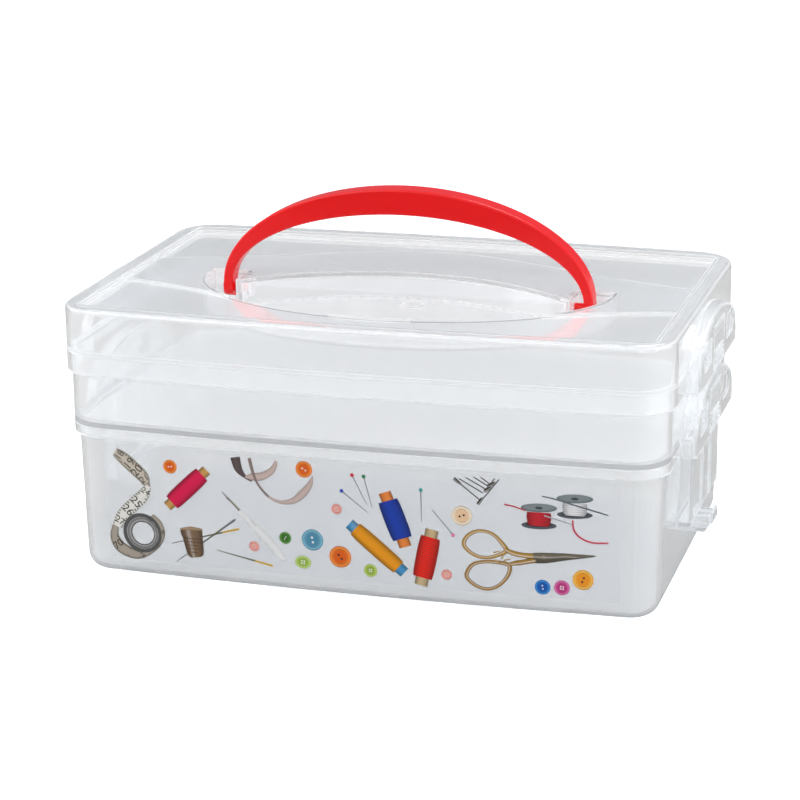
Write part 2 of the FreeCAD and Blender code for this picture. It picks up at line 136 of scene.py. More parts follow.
world = bpy.data.worlds.new("studio")
world.use_nodes = True
scene.world = world
tree = world.node_tree
path = add_node(tree, "ShaderNodeLightPath")
way = add_node(tree, "ShaderNodeTexCoord")
facing = add_node(tree, "ShaderNodeVectorMath", operation="DOT_PRODUCT")
facing.inputs[1].default_value = BACK_WALL_WAY
tree.links.new(way.outputs["Generated"], facing.inputs[0])
wall = add_node(tree, "ShaderNodeMapRange")
wall.inputs["From Min"].default_value = BACK_WALL_STARTS
wall.inputs["From Max"].default_value = BACK_WALL_FULL
tree.links.new(facing.outputs["Value"], wall.inputs["Value"])
sides = colour_mix(tree, wall.outputs["Result"], ROOM_SIDES, ROOM_SEEN_THROUGH)
glow = colour_mix(tree, path.outputs["Is Diffuse Ray"], sides, ROOM_AS_LIGHT)
room = colour_mix(tree, path.outputs["Is Camera Ray"], glow, ROOM_SEEN_DIRECT)
tree.links.new(room, tree.nodes["Background"].inputs["Color"])
scene.view_settings.view_transform = "Standard"
print("room nodes:", len(tree.nodes))

# %% [markdown]
# The floor is a plain pale sheet that the box stands on. Like the room it is white to the
# camera and darker through the plastic. It lies a hair below the box's underside, because two
# faces in the same place would flicker. A little glow keeps it white under a soft light.

# %% Floor
FLOOR_SEEN_THROUGH = (0.315, 0.305, 0.29, 1)
FLOOR_SEEN_DIRECT = (0.975, 0.975, 0.975, 1)
FLOOR_GLOW = (0.30, 0.30, 0.30, 1)
FLOOR_DROP = 0.2 * MM
FLOOR_SIZE = 6

floor_mesh = bpy.data.meshes.new("floor")
bm = bmesh.new()
bmesh.ops.create_grid(bm, x_segments=1, y_segments=1, size=FLOOR_SIZE)
bmesh.ops.translate(bm, verts=bm.verts, vec=(0, 0, -FLOOR_DROP))
bm.to_mesh(floor_mesh)
bm.free()
floor = bpy.data.objects.new("floor", floor_mesh)
scene.collection.objects.link(floor)
paint, tree, shader = new_material("floor_paint")
path = add_node(tree, "ShaderNodeLightPath")
pale = colour_mix(tree, path.outputs["Is Camera Ray"], FLOOR_SEEN_THROUGH, FLOOR_SEEN_DIRECT)
tree.links.new(pale, shader.inputs["Base Color"])
shader.inputs["Roughness"].default_value = 0.8
lift = colour_mix(tree, path.outputs["Is Camera Ray"], (0, 0, 0, 1), FLOOR_GLOW)
tree.links.new(lift, shader.inputs["Emission Color"])
shader.inputs["Emission Strength"].default_value = 1.0
floor_mesh.materials.append(paint)
print("floor", floor.name, "lies", round(FLOOR_DROP / MM, 1), "mm below the box")

# %% [markdown]
# A wide, soft sun from the front left lights everything evenly. Two weak panels, one at each
# end, lift the end walls. A small bright panel above the back edge draws white lines along
# rims and corners. Light bounces many times inside a clear wall before it comes out, and
# cutting the bounces short would leave black streaks, so a high number of them is allowed.

# %% Lights
BOUNCES = 64


def aim(name, lamp, at, towards):
    light = bpy.data.objects.new(name, lamp)
    light.location = at
    light.rotation_euler = (Vector(towards) - Vector(at)).to_track_quat("-Z", "Y").to_euler()
    scene.collection.objects.link(light)


sun = bpy.data.lights.new("soft_sun", "SUN")
sun.energy = 0.6
sun.angle = math.radians(30)
aim("soft_sun", sun, (-0.7, -0.75, 0.9), (0, 0, 0))
panels = (
    ("right_panel", 0.7, 4.5, (1.15, -0.1, 0.3), (0, 0, 0.07)),
    ("left_panel", 0.7, 3.5, (-1.15, -0.2, 0.3), (0, 0, 0.07)),
    ("edge_panel", 0.5, 5.0, (0.2, 0.75, 1.2), (0, 0, 0.08)),
)
for name, size, power, at, towards in panels:
    panel = bpy.data.lights.new(name, "AREA")
    panel.size = size
    panel.energy = power
    aim(name, panel, at, towards)
scene.cycles.max_bounces = BOUNCES
scene.cycles.transmission_bounces = BOUNCES
scene.cycles.transparent_max_bounces = BOUNCES
print("sun", round(sun.energy, 2), "panels", len(panels))

# %% [markdown]
# Natural polypropylene is clear but never as clear as glass: it is milky, and a moulded wall
# carries faint swirls where the melt flowed, and fine scuffs. It could be modelled as a cloud
# of scattering inside the walls, which is slow and grainy. A Principled shader that passes
# most light and scatters the rest gives the same milk at once. The swirls and scuffs come
# from two noises in a group, because every clear part has them.

# %% Moulded marks, a group that every clear part shares
def moulding_group():
    group = bpy.data.node_groups.new("moulding_marks", "ShaderNodeTree")
    face = group.interface
    settings = (("Swirl Scale", 14.0), ("Scuff Scale", 160.0),
                ("Roughness Low", 0.04), ("Roughness High", 0.12))
    for name, value in settings:
        face.new_socket(name, in_out="INPUT", socket_type="NodeSocketFloat").default_value = value
    for name in ("Milk", "Roughness", "Height"):
        face.new_socket(name, in_out="OUTPUT", socket_type="NodeSocketFloat")
    taken = group.nodes.new("NodeGroupInput")
    given = group.nodes.new("NodeGroupOutput")
    where = group.nodes.new("ShaderNodeTexCoord")
    swirl = add_node(group, "ShaderNodeTexNoise", Detail=3.0, Roughness=0.5, Distortion=1.2)
    scuff = add_node(group, "ShaderNodeTexNoise", Detail=6.0, Roughness=0.7)
    spread = add_node(group, "ShaderNodeMapRange")
    for node, scale in ((swirl, "Swirl Scale"), (scuff, "Scuff Scale")):
        group.links.new(where.outputs["Object"], node.inputs["Vector"])
        group.links.new(taken.outputs[scale], node.inputs["Scale"])
    group.links.new(scuff.outputs["Fac"], spread.inputs["Value"])
    group.links.new(taken.outputs["Roughness Low"], spread.inputs["To Min"])
    group.links.new(taken.outputs["Roughness High"], spread.inputs["To Max"])
    group.links.new(swirl.outputs["Fac"], given.inputs["Milk"])
    group.links.new(spread.outputs["Result"], given.inputs["Roughness"])
    group.links.new(swirl.outputs["Fac"], given.inputs["Height"])
    return group


MARKS = moulding_group()
print("group", MARKS.name)


# %% [markdown]
# Edges are where milky plastic shows itself: there one looks along the wall and not through
# it, so they are white. Here that white is partly this milk and partly a painted highlight,
# a white laid on every edge in place of the bright lines that light draws there. A bevel
# node turns the surface's direction near an edge, and how far it turns is the mask for a matt
# white. The little light that the thick places hold is a very weak glow at every meeting
# with the surface. It hardly shows on a plain wall, and adds up where light bounces inside a
# floor or a rim.

# %% White edges
# The edge white is partly the plastic's milk and partly a painted highlight along rims and corners.
EDGE_MILK_AND_HIGHLIGHT = (0.97, 0.975, 0.98, 1)
EDGE_WIDTH = 1.2 * MM
EDGE_STARTS = 0.999
EDGE_FULL = 0.95
EDGE_LET_THROUGH = 0.4


def white_edges(tree, plain):
    """The plain plastic, turned to matt white near its edges: partly milk, partly a painted highlight."""
    rounded = add_node(tree, "ShaderNodeBevel", samples=4, Radius=EDGE_WIDTH)
    flat = add_node(tree, "ShaderNodeNewGeometry")
    turned = add_node(tree, "ShaderNodeVectorMath", operation="DOT_PRODUCT")
    tree.links.new(rounded.outputs["Normal"], turned.inputs[0])
    tree.links.new(flat.outputs["True Normal"], turned.inputs[1])
    edge = add_node(tree, "ShaderNodeMapRange")
    edge.inputs["From Min"].default_value = EDGE_STARTS
    edge.inputs["From Max"].default_value = EDGE_FULL
    tree.links.new(turned.outputs["Value"], edge.inputs["Value"])
    # Painted highlight mixed with the plastic's milk: matt white on every edge, whatever the light.
    matt_milk_and_highlight = add_node(tree, "ShaderNodeBsdfDiffuse", Color=EDGE_MILK_AND_HIGHLIGHT)
    through = add_node(tree, "ShaderNodeBsdfTranslucent", Color=EDGE_MILK_AND_HIGHLIGHT)
    milk_and_painted_highlight = add_node(tree, "ShaderNodeMixShader", Fac=EDGE_LET_THROUGH)
    tree.links.new(matt_milk_and_highlight.outputs["BSDF"], milk_and_painted_highlight.inputs[1])
    tree.links.new(through.outputs["BSDF"], milk_and_painted_highlight.inputs[2])
    body = add_node(tree, "ShaderNodeMixShader")
    tree.links.new(edge.outputs["Result"], body.inputs["Fac"])
    tree.links.new(plain, body.inputs[1])
    tree.links.new(milk_and_painted_highlight.outputs["Shader"], body.inputs[2])
    return body.outputs["Shader"]


# %% [markdown]
# The plastic itself puts these together. Shadows of clear plastic are faint, so rays that
# only ask for a shadow go straight through and lose a little. The tint is a touch bluer where
# the swirls are thin. One material serves the three shells and the four snap tongues, as
# they are moulded from the same batch.

# %% Clear plastic
THIN_TINT = (0.988, 0.99, 0.992, 1)
MILKY_TINT = (0.998, 0.998, 1.0, 1)
SHADOW_TINT = (0.86, 0.88, 0.90, 1)
HELD_TINT = (0.96, 0.98, 1.0, 1)
HELD_LIGHT = 0.022
CLEARNESS = 0.84
PLASTIC_IOR = 1.49


def clear_plastic():
    made, tree, shader = new_material("clear_plastic")
    marks = add_node(tree, "ShaderNodeGroup", node_tree=MARKS)
    tint = colour_mix(tree, marks.outputs["Milk"], THIN_TINT, MILKY_TINT)
    tree.links.new(tint, shader.inputs["Base Color"])
    tree.links.new(marks.outputs["Roughness"], shader.inputs["Roughness"])
    ripple = add_node(tree, "ShaderNodeBump", Strength=0.03, Distance=2 * MM)
    tree.links.new(marks.outputs["Height"], ripple.inputs["Height"])
    tree.links.new(ripple.outputs["Normal"], shader.inputs["Normal"])
    shader.inputs["IOR"].default_value = PLASTIC_IOR
    shader.inputs["Transmission Weight"].default_value = CLEARNESS
    shader.inputs["Emission Color"].default_value = HELD_TINT
    shader.inputs["Emission Strength"].default_value = HELD_LIGHT
    made.cycles.emission_sampling = "NONE"
    path = add_node(tree, "ShaderNodeLightPath")
    straight = add_node(tree, "ShaderNodeBsdfTransparent", Color=SHADOW_TINT)
    choice = add_node(tree, "ShaderNodeMixShader")
    tree.links.new(path.outputs["Is Shadow Ray"], choice.inputs["Fac"])
    tree.links.new(white_edges(tree, shader.outputs["BSDF"]), choice.inputs[1])
    tree.links.new(straight.outputs["BSDF"], choice.inputs[2])
    tree.links.new(choice.outputs["Shader"], tree.nodes["Material Output"].inputs["Surface"])
    return made


shell_plastic = clear_plastic()
clear_nodes = ["base_box", "middle_tray", "lid", "lid_clip_left", "lid_clip_right",
               "tray_clip_left", "tray_clip_right"]
for name in clear_nodes:
    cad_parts[name].data.materials.clear()
    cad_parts[name].data.materials.append(shell_plastic)
print("clear parts:", len(clear_nodes))

# %% [markdown]
# The handle is solid red plastic with a polished face. Real moulded red is not even: it is a
# little deeper where the wall is thick and shows a fine orange-peel in the gloss. Its colour
# follows a slow noise, and a fine one is bumped into the shine.

# %% Red handle plastic
BRIGHT_RED = (0.90, 0.004, 0.006, 1)
DEEP_RED = (0.80, 0.002, 0.005, 1)


def red_plastic():
    made, tree, shader = new_material("handle_plastic")
    where = add_node(tree, "ShaderNodeTexCoord")
    slow = add_node(tree, "ShaderNodeTexNoise", Scale=35.0, Detail=2.0)
    fine = add_node(tree, "ShaderNodeTexNoise", Scale=900.0, Detail=2.0)
    for node in (slow, fine):
        tree.links.new(where.outputs["Object"], node.inputs["Vector"])
    red = colour_mix(tree, slow.outputs["Fac"], BRIGHT_RED, DEEP_RED)
    tree.links.new(red, shader.inputs["Base Color"])
    peel = add_node(tree, "ShaderNodeBump", Strength=0.08, Distance=0.2 * MM)
    tree.links.new(fine.outputs["Fac"], peel.inputs["Height"])
    tree.links.new(peel.outputs["Normal"], shader.inputs["Normal"])
    shader.inputs["Roughness"].default_value = 0.22
    shader.inputs["Specular IOR Level"].default_value = 0.35
    return made


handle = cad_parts["carry_handle"]
handle.data.materials.clear()
handle.data.materials.append(red_plastic())
low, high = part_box("carry_handle")
print("handle spans", [round(c / MM) for c in high - low], "mm")

# %% [markdown]
# The picture is printed on a thin clear film on the front of the base. Each drawn thing is a
# thin plate of ink that follows the wall: a real print is flat, and plates keep crisp edges
# from every distance, where a painted texture would blur. A plate is either a disc or a band.
# The band starts as a straight strip, one grid cell wide, and each of its cross lines is then
# moved to a station of its own, with its own half width. The ink's colour is stored on the
# plate itself, so that one ink material serves them all.

# %% Tools for drawing on the front
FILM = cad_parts["front_print_film"]
film_mesh = bmesh.new()
film_mesh.from_mesh(FILM.data)
film_tree = BVHTree.FromBMesh(film_mesh)
film_mesh.free()
INK_BASE = 0.06 * MM
INK_STEP = 0.03 * MM
UV_PER_METRE = 10


class Drawing:
    """One drawn thing: flat plates in the X-Z plane, in millimetres, laid on the film at the end."""

    def __init__(self, name):
        self.name = name
        self.bm = bmesh.new()
        self.uv = self.bm.loops.layers.uv.new("across")
        self.ink = self.bm.loops.layers.float_color.new("ink")
        self.kind = self.bm.loops.layers.float_color.new("kind")

    def colour(self, faces, ink, thread=0.0, shade=0.0, gleam=0.0):
        for face in faces:
            for loop in face.loops:
                loop[self.ink] = (*ink, 1.0)
                loop[self.kind] = (thread, shade, gleam, 1.0)

    def raise_plate(self, faces, layer):
        """Give flat faces their ink thickness, towards the viewer."""
        height = INK_BASE + layer * INK_STEP
        grown = bmesh.ops.extrude_face_region(self.bm, geom=faces)["geom"]
        moved = [g for g in grown if isinstance(g, bmesh.types.BMVert)]
        bmesh.ops.translate(self.bm, verts=moved, vec=(0, -height, 0))

    def disc(self, at, radius, ink, layer=0, squash=1.0, turn=0.0, segments=28, **look):
        made = bmesh.ops.create_circle(self.bm, cap_ends=True, radius=radius * MM, segments=segments)
        made = made["verts"]
        bmesh.ops.scale(self.bm, verts=made, vec=(1, squash, 1))
        place = Matrix.Translation((at[0] * MM, 0, at[1] * MM)) @ Matrix.Rotation(math.radians(turn), 4, "Y")
        bmesh.ops.transform(self.bm, verts=made, matrix=place @ Matrix.Rotation(math.radians(90), 4, "X"))
        face = made[0].link_faces[0]
        centre = face.calc_center_median()
        for loop in face.loops:
            out = (loop.vert.co - centre) / (radius * MM)
            loop[self.uv].uv = (0.5 + out.x / 2, 0.5 + out.z / 2)
        self.colour([face], ink, **look)
        self.raise_plate([face], layer)

    def band(self, stations, ink, layer=0, closed=False, **look):
        """A band through (x, z, half width) stations. Its ends are square, or it closes on itself."""
        if closed:
            stations = [*stations, stations[0]]
        spots = [Vector((x, 0, z)) * MM for x, z, _ in stations]
        last = len(spots) - 1
        runs = [0.0]
        for here, after in zip(spots, spots[1:]):
            runs.append(runs[-1] + (after - here).length * UV_PER_METRE)
        known = set(self.bm.faces) if closed else ()
        made = bmesh.ops.create_grid(self.bm, x_segments=last, y_segments=1, size=1)["verts"]
        station = {vert: (round((vert.co.x + 1) / 2 * last), vert.co.y) for vert in made}
        faces = list(dict.fromkeys(face for vert in made for face in vert.link_faces))
        for face in faces:
            for loop in face.loops:
                i, side = station[loop.vert]
                loop[self.uv].uv = (runs[i], (side + 1) / 2)
        for vert, (i, side) in station.items():
            before = spots[i - 1] if i > 0 else spots[-2 if closed else 0]
            after = spots[i + 1] if i < last else spots[1 if closed else -1]
            square = Vector((0, 1, 0)).cross((after - before).normalized())
            vert.co = spots[i] - square * side * stations[i][2] * MM
        if closed:
            bmesh.ops.remove_doubles(self.bm, verts=made, dist=1e-6)
            faces = [face for face in self.bm.faces if face not in known]
        self.colour(faces, ink, **look)
        self.raise_plate(faces, layer)

    def finish(self, material):
        """Lay the plates on the film and hang them on the base."""
        bmesh.ops.recalc_face_normals(self.bm, faces=self.bm.faces)
        for vert in self.bm.verts:
            hit = film_tree.ray_cast(Vector((vert.co.x, -1, vert.co.z)), Vector((0, 1, 0)))[0]
            vert.co.y += hit.y
        mesh = bpy.data.meshes.new(self.name)
        self.bm.to_mesh(mesh)
        self.bm.free()
        piece = bpy.data.objects.new(self.name, mesh)
        scene.collection.objects.link(piece)
        mesh.materials.append(material)
        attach(piece, "base")
        print(self.name, len(mesh.polygons), "faces")
        return piece


def curve_through(points, steps=8, closed=False):
    """Points on a smooth curve through a few points, each a tuple of numbers."""
    count = len(points)
    spans = count if closed else count - 1
    out = []
    for i in range(spans):
        if closed:
            a, b, c, d = (points[(i + k) % count] for k in (-1, 0, 1, 2))
        else:
            a, b, c, d = (points[min(max(i + k, 0), count - 1)] for k in (-1, 0, 1, 2))
        for j in range(steps):
            t = j / steps
            out.append(tuple(
                0.5 * (2 * q + (r - p) * t + (2 * p - 5 * q + 4 * r - s) * t ** 2
                       + (3 * q - p - 3 * r + s) * t ** 3)
                for p, q, r, s in zip(a, b, c, d)))
    if not closed:
        out.append(tuple(points[-1]))
    return out


# %% [markdown]
# One ink serves every drawing. It takes the colour from the plate and adds what makes a
# printed photograph of a thing look round: a darker edge on both sides, a soft gleam, and on
# a spool the fine lines of wound thread, which lie across it. A faint grain breaks it up.

# %% Printing ink
def printing_ink():
    made, tree, shader = new_material("printing_ink")
    ink = add_node(tree, "ShaderNodeAttribute", attribute_name="ink")
    kind = add_node(tree, "ShaderNodeAttribute", attribute_name="kind")
    split = add_node(tree, "ShaderNodeSeparateColor")
    tree.links.new(kind.outputs["Color"], split.inputs["Color"])
    place = add_node(tree, "ShaderNodeUVMap", uv_map="across")
    axes = add_node(tree, "ShaderNodeSeparateXYZ")
    tree.links.new(place.outputs["UV"], axes.inputs["Vector"])
    round_ramp = add_node(tree, "ShaderNodeValToRGB")
    stops = round_ramp.color_ramp.elements
    stops[0].position, stops[0].color = 0.0, (0.30, 0.30, 0.30, 1)
    stops[1].position, stops[1].color = 1.0, (0.34, 0.34, 0.34, 1)
    for at, grey in ((0.28, 0.92), (0.5, 1.0), (0.75, 0.82)):
        stop = stops.new(at)
        stop.color = (grey, grey, grey, 1)
    tree.links.new(axes.outputs["Y"], round_ramp.inputs["Fac"])
    rounded = colour_mix(tree, split.outputs["Green"], ink.outputs["Color"],
                         colour_mix(tree, 1.0, ink.outputs["Color"], round_ramp.outputs["Color"], "MULTIPLY"))
    lines = add_node(tree, "ShaderNodeTexWave", Scale=30.0, Distortion=1.0, Detail=2.0)
    lines.inputs["Detail Scale"].default_value = 3.0
    tree.links.new(place.outputs["UV"], lines.inputs["Vector"])
    dark_lines = colour_mix(tree, lines.outputs["Fac"], (0.66, 0.66, 0.66, 1), (1.22, 1.22, 1.22, 1))
    threaded = colour_mix(tree, split.outputs["Red"], rounded,
                          colour_mix(tree, 1.0, rounded, dark_lines, "MULTIPLY"))
    gleam_ramp = add_node(tree, "ShaderNodeValToRGB")
    stops = gleam_ramp.color_ramp.elements
    stops[0].position, stops[0].color = 0.22, (0, 0, 0, 1)
    stops[1].position, stops[1].color = 0.50, (0, 0, 0, 1)
    stops.new(0.36).color = (1, 1, 1, 1)
    tree.links.new(axes.outputs["Y"], gleam_ramp.inputs["Fac"])
    gleam = add_node(tree, "ShaderNodeMath", operation="MULTIPLY")
    tree.links.new(gleam_ramp.outputs["Color"], gleam.inputs[0])
    tree.links.new(split.outputs["Blue"], gleam.inputs[1])
    shining = colour_mix(tree, gleam.outputs["Value"], threaded, (0.95, 0.93, 0.90, 1))
    where = add_node(tree, "ShaderNodeTexCoord")
    grain = add_node(tree, "ShaderNodeTexNoise", Scale=1500.0, Detail=2.0)
    tree.links.new(where.outputs["Object"], grain.inputs["Vector"])
    speckle = colour_mix(tree, grain.outputs["Fac"], (0.90, 0.90, 0.90, 1), (1.06, 1.06, 1.06, 1))
    tree.links.new(colour_mix(tree, 1.0, shining, speckle, "MULTIPLY"), shader.inputs["Base Color"])
    shader.inputs["Roughness"].default_value = 0.3
    return made


INK = printing_ink()
print("ink nodes:", len(INK.node_tree.nodes))


def tone(red, green, blue):
    """A print colour as it looks on a screen, 0 to 255, turned into light."""
    return tuple((c / 255) ** 2.2 for c in (red, green, blue))


# %% [markdown]
# The buttons are discs with a raised rim and two or four holes. On a printed button the rim is
# a lighter ring and the dished middle is darker, and that is all the eye needs, so each is a
# stack of thin discs and one ring. A few simple shapes with their own sizes and colours
# make the whole family.

# %% Buttons
def button(art, x, z, radius, ink, rim, dish, hole, holes=2, turn=40, squash=1.0):
    art.disc((x, z), radius, ink, squash=squash, shade=0.6)
    ring = [(x + 0.84 * radius * math.cos(a), z + 0.84 * radius * squash * math.sin(a), 0.08 * radius)
            for a in (math.tau * i / 24 for i in range(24))]
    art.band(ring, rim, layer=1, closed=True)
    art.disc((x, z), 0.58 * radius, dish, layer=1, squash=squash)
    for i in range(holes):
        a = math.radians(turn) + math.tau * i / holes
        art.disc((x + 0.22 * radius * math.cos(a), z + 0.22 * radius * math.sin(a)),
                 0.11 * radius, hole, layer=2, segments=10)


# Each button plastic is a trio: its face, its lighter rim and its darker dish.
WHITE = tone(250, 248, 245)
DARK = tone(60, 45, 40)
ORANGE = (tone(244, 120, 30), tone(252, 150, 70), tone(232, 98, 22))
AMBER = (tone(255, 172, 48), tone(255, 200, 96), tone(250, 155, 36))
BLUE = (tone(25, 110, 200), tone(70, 150, 225), tone(15, 90, 180))
MAGENTA = (tone(212, 72, 145), tone(232, 120, 180), tone(195, 55, 130))
TEAL = (tone(98, 160, 190), tone(130, 190, 215), tone(80, 145, 178))
GREEN = (tone(72, 132, 50), tone(100, 160, 70), tone(55, 112, 38))
LIME = (tone(172, 204, 92), tone(205, 228, 140), tone(150, 190, 72))
OLIVE_LIME = (tone(172, 200, 80), tone(205, 225, 130), tone(150, 182, 62))
CREAM = (tone(250, 218, 180), tone(255, 240, 220), tone(245, 205, 165))
PINK = (tone(240, 120, 110), tone(250, 190, 180), tone(250, 205, 195))
PINK_HOLE = tone(225, 90, 85)
buttons = Drawing("print_buttons")
button(buttons, -90.2, 57.3, 3.4, *ORANGE, WHITE, turn=10)
button(buttons, -23.9, 62.0, 4.0, *ORANGE, WHITE, turn=150)
button(buttons, -7.4, 20.6, 5.3, *ORANGE, DARK, turn=130)
button(buttons, 106.4, 19.2, 4.8, *AMBER, DARK, turn=70)
button(buttons, 87.9, 14.2, 3.6, *BLUE, WHITE, turn=100)
button(buttons, 96.8, 14.6, 3.6, *MAGENTA, WHITE, 4)
button(buttons, -20.7, 27.7, 5.2, *TEAL, WHITE, turn=100)
button(buttons, -34.0, 27.4, 2.9, *GREEN, WHITE, turn=60)
button(buttons, -25.6, 16.2, 3.9, *LIME, WHITE, 4, squash=0.8)
button(buttons, 7.1, 15.2, 3.2, *OLIVE_LIME, WHITE, 4)
button(buttons, 50.6, 45.8, 4.7, *CREAM, DARK, turn=20)
for x, z in ((-49.5, 21.7), (-8.6, 44.0), (43.3, 16.5)):
    button(buttons, x, z, 2.5, *PINK, PINK_HOLE, 4, turn=45)
buttons.finish(INK)

# %% [markdown]
# A thread spool seen from the side is a fat band of thread with a narrower band of its core
# at each end. The thread's outline bulges a little in the middle, so its band has a few more
# stations than two. The core comes first and the thread lies over it.

# %% Spools of thread
def spool(art, top, bottom, half, core_half, core_reach, thread, core, bulge=0.25):
    axis = Vector(bottom) - Vector(top)
    step = axis.normalized() * core_reach
    for end, way in ((Vector(top), -1), (Vector(bottom), 1)):
        tip = end + step * way
        art.band([(*(end - step * way * 0.3), core_half), (*tip, core_half)], core, shade=1.0)
    body = []
    for i in range(9):
        t = i / 8
        spot = Vector(top) + axis * t
        body.append((*spot, half - 0.5 + bulge + 0.5 * math.sin(math.pi * t) ** 0.35))
    art.band(body, thread, layer=2, thread=1.0, shade=1.0)


spools = Drawing("print_spools")
spool(spools, (-74.3, 54.9), (-90.0, 39.6), 4.1, 2.5, 3.4, tone(240, 18, 84), tone(212, 162, 92))
spool(spools, (16.0, 50.2), (22.6, 32.3), 4.9, 3.0, 4.2, tone(22, 66, 180), tone(244, 140, 66))
spool(spools, (0.1, 35.1), (20.5, 18.0), 3.9, 2.8, 3.6, tone(255, 165, 20), tone(72, 155, 208))
spool(spools, (35.9, 34.1), (31.8, 14.0), 4.7, 3.1, 3.9, tone(244, 40, 26), tone(212, 186, 142))
spools.finish(INK)

# %% [markdown]
# Pins, needles and the seam ripper are thin bands. Their drawn width is a little more than a
# real pin's, or they would break up into dots at a distance. Heads are small discs, and a
# needle's eye end is a short gold band.

# %% Pins, needles and the seam ripper
STEEL = tone(120, 120, 125)
GOLD = tone(215, 175, 85)
pins = Drawing("print_pins_and_needles")
PIN_HEADS = (
    ((-6.0, 53.1), (6.3, 43.6), tone(40, 70, 190)),
    ((-0.8, 61.2), (5.9, 47.5), tone(225, 40, 50)),
    ((4.7, 61.0), (8.5, 46.2), tone(25, 125, 65)),
    ((31.6, 56.7), (31.8, 41.6), tone(70, 165, 160)),
    ((46.5, 36.1), (36.9, 47.5), tone(240, 140, 175)),
)
for head, point, ink in PIN_HEADS:
    pins.band([(*head, 0.24), (*point, 0.12)], STEEL, shade=0.4)
    pins.disc(head, 0.9, ink, layer=1, shade=0.7, segments=14)
NEEDLES = (
    ((-58.3, 34.3), (-89.0, 10.0), STEEL),
    ((-56.5, 29.7), (-91.2, 18.9), GOLD),
    ((-40.4, 12.8), (-68.1, 17.9), GOLD),
)
for blunt, point, eye in NEEDLES:
    end = Vector(blunt)
    way = (Vector(point) - end).normalized()
    pins.band([(*end, 0.25), (*(end + way * 1.2), 0.55), (*(end + way * 9), 0.42)], eye, layer=1)
    pins.band([(*(end + way * 8), 0.40), (*point, 0.16)], tone(105, 105, 80), shade=0.5)
pins.finish(INK)

ripper = Drawing("print_seam_ripper")
ripper.band([(-64.6, 47.3, 0.15), (-60.0, 42.8, 0.45), (-55.6, 38.3, 0.55)], tone(150, 140, 125), shade=0.6)
ripper.band([(-62.6, 44.2, 0.3), (-60.6, 43.6, 0.35)], STEEL, layer=1)
grip = curve_through([(-56.2, 38.8, 0.7), (-54.6, 37.2, 1.2), (-51.0, 33.6, 1.5), (-48.6, 31.2, 2.1),
                      (-42.4, 25.2, 2.0), (-36.9, 18.9, 1.9), (-34.4, 16.6, 0.9)], 4)
ripper.band(grip, tone(246, 246, 248), layer=1, shade=0.25)
ripper.band([(-50.6, 34.6, 0.25), (-48.2, 31.8, 0.25)], tone(205, 205, 212), layer=3)
ripper.finish(INK)

# %% [markdown]
# Ribbon curls and thimble. A ribbon shows its face where it faces us and thins to a line
# where it turns away, so its band gets a half width at every station. The thimble is a short
# wide band that narrows to its crown, with a lighter rolled rim and a dimpled look from
# rows of dark dots.

# %% Ribbon and thimble
ribbon = Drawing("print_ribbon")
TAUPE = tone(150, 130, 126)
PALE_TAUPE = tone(212, 190, 184)
ribbon.band(curve_through([(-57.4, 65.0, 2.4), (-55.9, 59.3, 1.9), (-52.7, 55.8, 0.8),
                           (-49.4, 54.4, 0.9)], 6), tone(98, 84, 84), shade=0.8)
ribbon.band(curve_through([(-52.7, 55.8, 0.4), (-48.9, 56.2, 1.9), (-44.1, 57.0, 1.9), (-39.3, 60.4, 1.5),
                           (-37.2, 65.0, 0.7)], 6), PALE_TAUPE, layer=1, shade=0.6)
ribbon.band(curve_through([(-50.4, 65.2, 0.8), (-48.8, 58.1, 0.7), (-46.2, 52.1, 0.5),
                           (-41.6, 47.0, 0.6)], 6), TAUPE, layer=2, shade=0.6)
ribbon.band(curve_through([(-41.6, 47.0, 0.5), (-36.0, 44.9, 0.8), (-29.4, 46.3, 1.5), (-24.6, 50.4, 1.9),
                           (-21.2, 55.0, 1.3), (-19.7, 59.4, 0.2)], 6), PALE_TAUPE, layer=3, shade=0.6)
ribbon.finish(INK)

thimble = Drawing("print_thimble")
BRONZE = tone(135, 108, 84)
thimble.band([(-80.9, 27.2, 5.6), (-80.7, 25.0, 5.5), (-80.3, 23.4, 5.1), (-79.4, 17.0, 4.5),
              (-79.0, 14.2, 3.9), (-78.8, 13.2, 2.6)], BRONZE, layer=2, shade=1.0, gleam=0.35)
thimble.band([(-86.4, 26.6, 0.5), (-81.0, 27.6, 0.9), (-75.6, 27.4, 0.5)], tone(176, 150, 122),
             layer=4, shade=0.6)
for row in range(5):
    for i in range(7 - row // 2):
        x = -84.0 + 1.15 * i + 0.25 * row + 0.5 * (row % 2)
        thimble.disc((x, 22.4 - 1.7 * row), 0.36, tone(66, 50, 38), layer=3, segments=8)
thimble.finish(INK)

# %% [markdown]
# The embroidery scissors are gold rings that run on into steel blades. Each handle is one
# closed band whose half width swells towards the shank, each blade a tapering band, and the
# screw a small disc where they cross. A gleam down the middle of the band makes the gold
# look like bent rod.

# %% Scissors
scissors = Drawing("print_scissors")
GOLD_ROD = tone(196, 152, 72)
scissors.band(curve_through([(51.4, 32.8, 0.95), (54.0, 37.0, 0.9), (59.0, 39.2, 0.8), (64.9, 38.1, 0.8),
                             (69.3, 33.9, 1.0), (71.2, 30.6, 1.1), (67.9, 28.4, 0.9), (62.9, 26.6, 0.8),
                             (57.9, 26.8, 0.8), (53.4, 29.3, 0.9)], 4, closed=True),
              GOLD_ROD, layer=1, closed=True, shade=0.9, gleam=0.8)
scissors.band(curve_through([(52.7, 17.8, 0.95), (55.4, 22.4, 0.9), (60.9, 24.4, 0.8), (67.9, 24.6, 0.9),
                             (72.6, 23.4, 1.0), (71.8, 18.4, 0.9), (67.8, 13.5, 0.8), (62.8, 11.2, 0.8),
                             (57.8, 12.0, 0.8), (53.8, 14.7, 0.9)], 4, closed=True),
              tone(178, 134, 62), layer=2, closed=True, shade=0.9, gleam=0.8)
